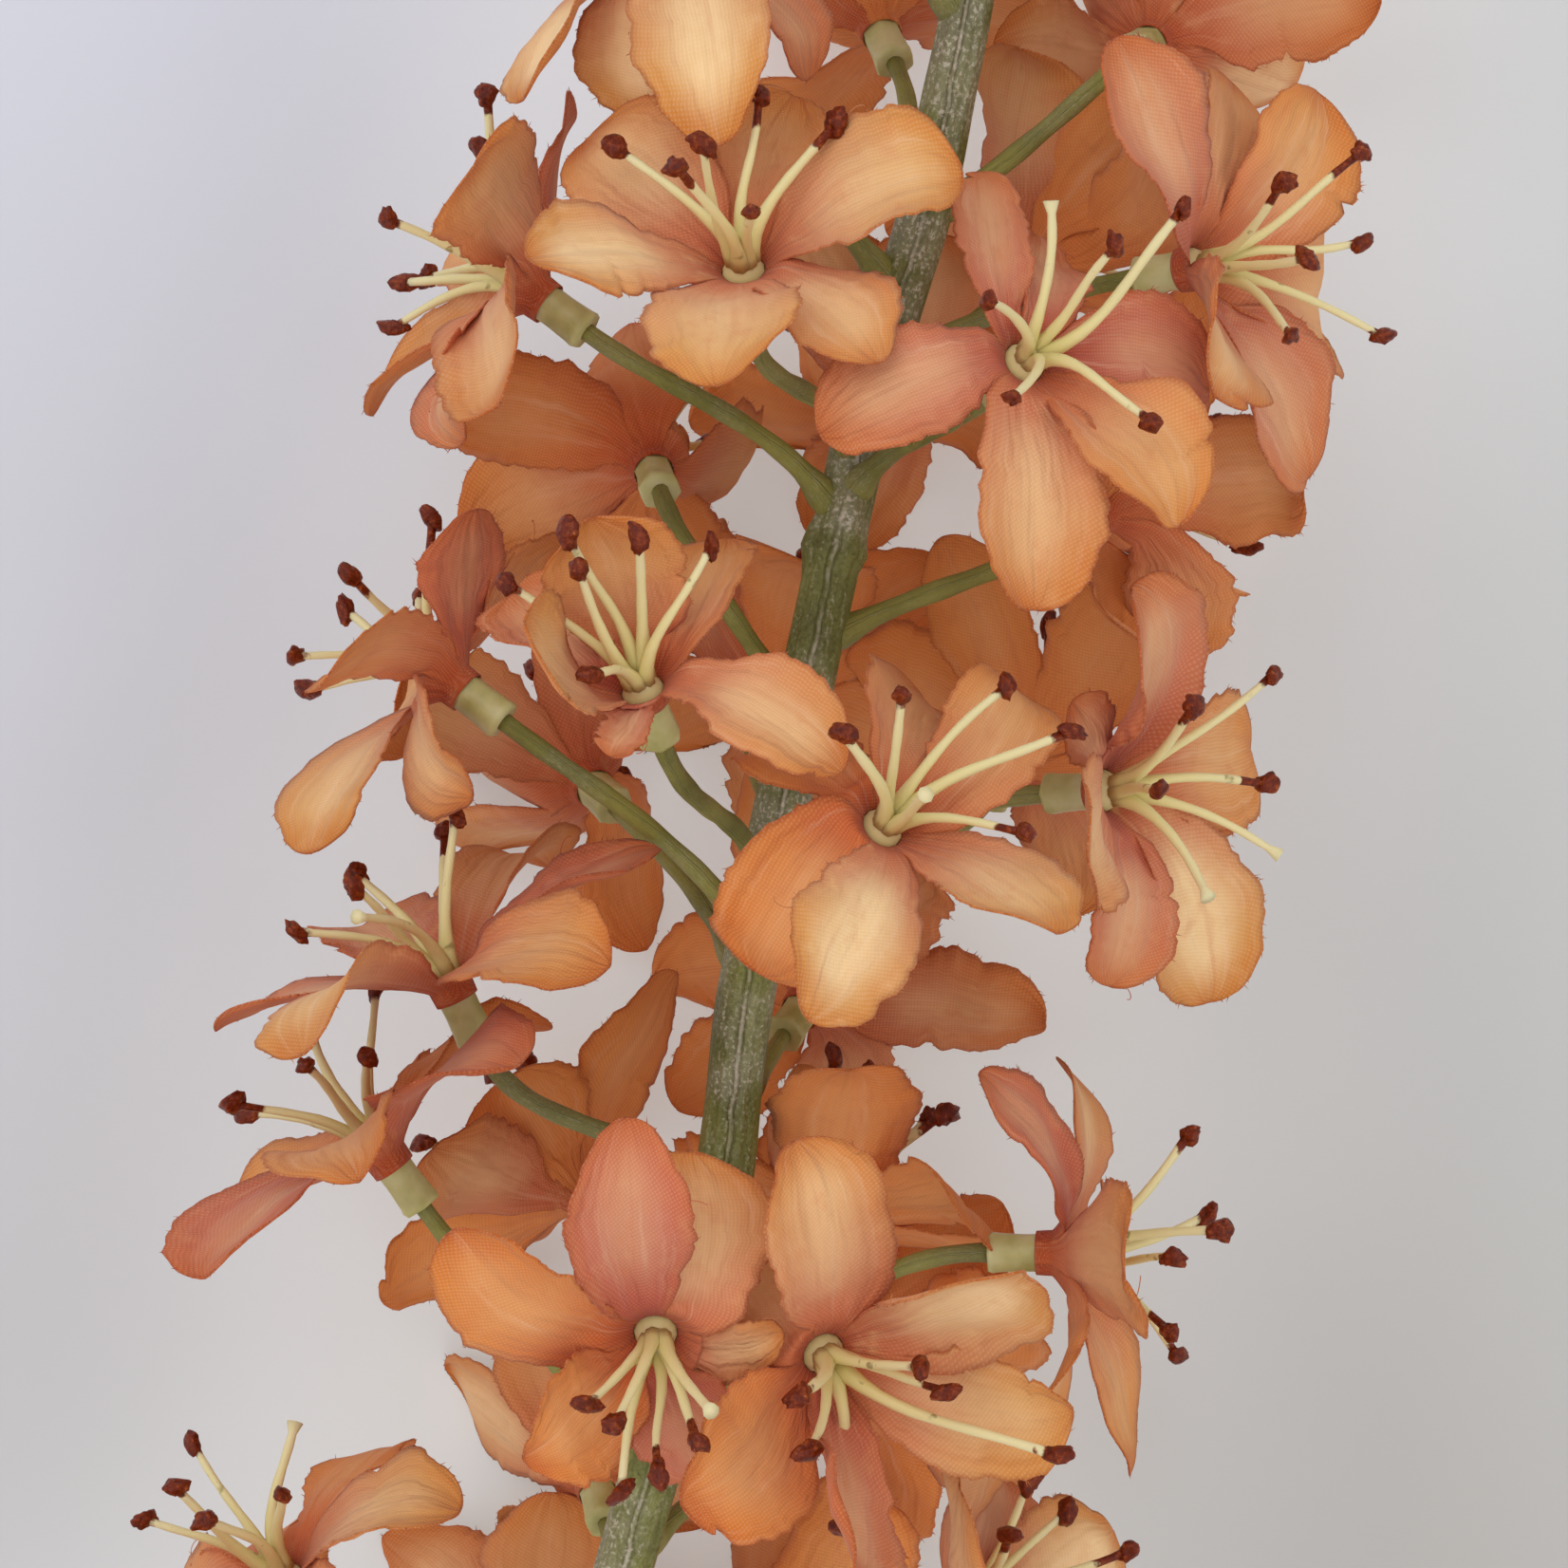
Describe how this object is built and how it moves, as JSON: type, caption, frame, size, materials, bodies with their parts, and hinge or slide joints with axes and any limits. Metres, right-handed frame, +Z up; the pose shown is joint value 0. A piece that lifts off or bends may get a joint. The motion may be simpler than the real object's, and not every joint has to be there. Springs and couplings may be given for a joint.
{
  "type": "artificial foxtail lily flower spike",
  "caption": "Long flower spike lying down: a stem with curved pedicels, star-shaped silk blooms with stamens all round it, and buds at the tip.",
  "frame": {"origin": "middle of the underside of the bounding box, on the surface that the spike lies on", "axes": "+X along the stem from its cut end to its tip, +Z up from the surface"},
  "size_m": [0.4406, 0.1066, 0.1024],
  "materials": {
    "stem_green": "moulded olive green plastic with whitish scuffed streaks",
    "petal_silk": "woven silk dyed peach orange, coral towards the heart, with cut edges"
  },
  "bodies": {
    "root": {"stem": "stem_green", "bloom_01": "petal_silk", "bloom_02": "petal_silk", "bloom_03": "petal_silk", "bloom_04": "petal_silk", "bloom_05": "petal_silk", "bloom_06": "petal_silk", "bloom_07": "petal_silk", "bloom_08": "petal_silk", "bloom_09": "petal_silk", "bloom_10": "petal_silk", "bloom_11": "petal_silk", "bloom_12": "petal_silk", "bloom_13": "petal_silk", "bloom_14": "petal_silk", "bloom_15": "petal_silk", "bloom_16": "petal_silk", "bloom_17": "petal_silk", "bloom_18": "petal_silk", "bloom_19": "petal_silk", "bloom_20": "petal_silk", "bloom_21": "petal_silk", "bloom_22": "petal_silk", "bloom_23": "petal_silk", "bloom_24": "petal_silk", "bloom_25": "petal_silk", "bloom_26": "petal_silk", "bloom_27": "petal_silk", "bloom_28": "petal_silk", "bloom_29": "petal_silk", "bloom_30": "petal_silk", "bloom_31": "petal_silk", "bloom_32": "petal_silk", "bloom_33": "petal_silk", "bloom_34": "petal_silk", "bloom_35": "petal_silk", "bloom_36": "petal_silk", "bloom_37": "petal_silk", "bloom_38": "petal_silk", "bloom_39": "petal_silk", "bloom_40": "petal_silk", "bloom_41": "petal_silk", "bloom_42": "petal_silk", "bloom_43": "petal_silk", "bloom_44": "petal_silk"}
  },
  "joints": []
}
